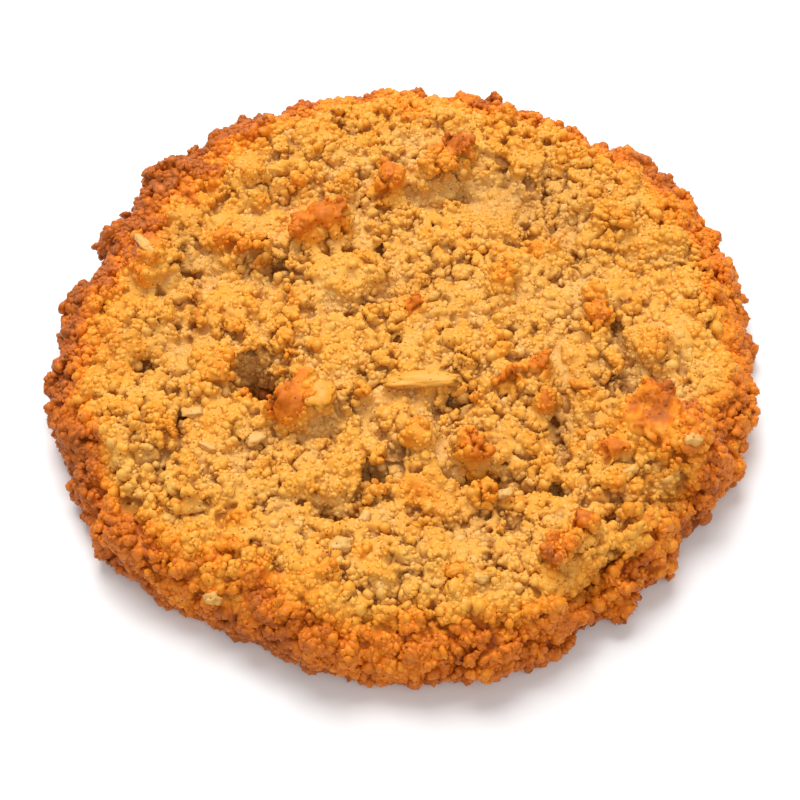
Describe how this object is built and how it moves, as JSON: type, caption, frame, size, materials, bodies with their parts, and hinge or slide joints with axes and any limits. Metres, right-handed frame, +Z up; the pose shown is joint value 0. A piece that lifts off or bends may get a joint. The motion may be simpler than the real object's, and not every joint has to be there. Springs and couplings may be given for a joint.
{
  "type": "oat cookie",
  "caption": "Thick round oat cookie of crumbly golden dough, with toasted crags and cracks on top, a browned crumbly rim and a flat baked underside.",
  "frame": {"origin": "middle of the flat underside, at the bottom centre of the box", "axes": "+Z up through the cookie's thickness, +X to its right and +Y to its back as the picture shows it"},
  "size_m": [0.093, 0.0914, 0.0147],
  "materials": {
    "baked_dough": "dry, crumbly and matt, golden with toasted brown crags"
  },
  "bodies": {
    "root": {"cookie": "baked_dough"}
  },
  "joints": []
}
